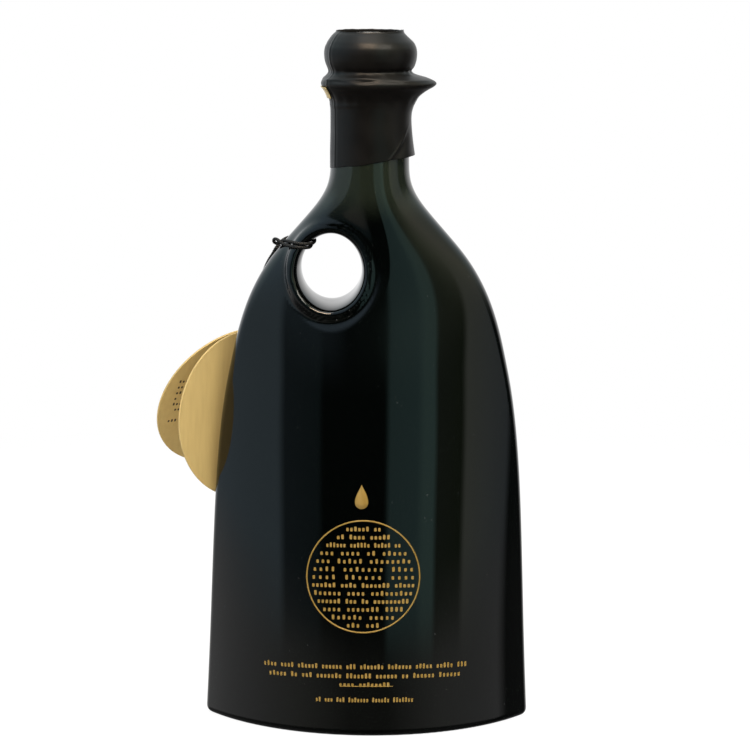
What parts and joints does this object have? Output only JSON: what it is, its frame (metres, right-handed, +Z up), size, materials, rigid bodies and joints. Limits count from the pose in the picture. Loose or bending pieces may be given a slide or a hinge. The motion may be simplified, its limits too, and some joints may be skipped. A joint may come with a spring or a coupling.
{
  "type": "olive oil bottle",
  "caption": "Dark glass oil bottle, lens shaped in plan, with a finger hole through its shoulder, a pouring lip, a film-covered ball stopper, and round tags on a cord.",
  "frame": {"origin": "centre of the base, on the surface the bottle stands on", "axes": "+Z up the neck, +X to the side the spout points to, -Y the printed side, with the finger hole on the -X side and its bore along Y"},
  "size_m": [0.1444, 0.0846, 0.2605],
  "materials": {
    "dark_glass": "near-black green glass, glossy",
    "stopper": "pale grey, satin",
    "film": "matte brown-black shrunk film",
    "gold_foil": "satin gold foil",
    "gold_card": "satin gold foil on card",
    "gold_print": "matte gold screen print",
    "cord": "black braided cord"
  },
  "bodies": {
    "root": {"bottle": "dark_glass", "stopper": "stopper", "shrink_film": "film", "seal_strip": "gold_foil", "inner_tag": "gold_card", "outer_tag": "gold_card", "tag_cord": "cord", "cord_knot": "cord"}
  },
  "joints": []
}
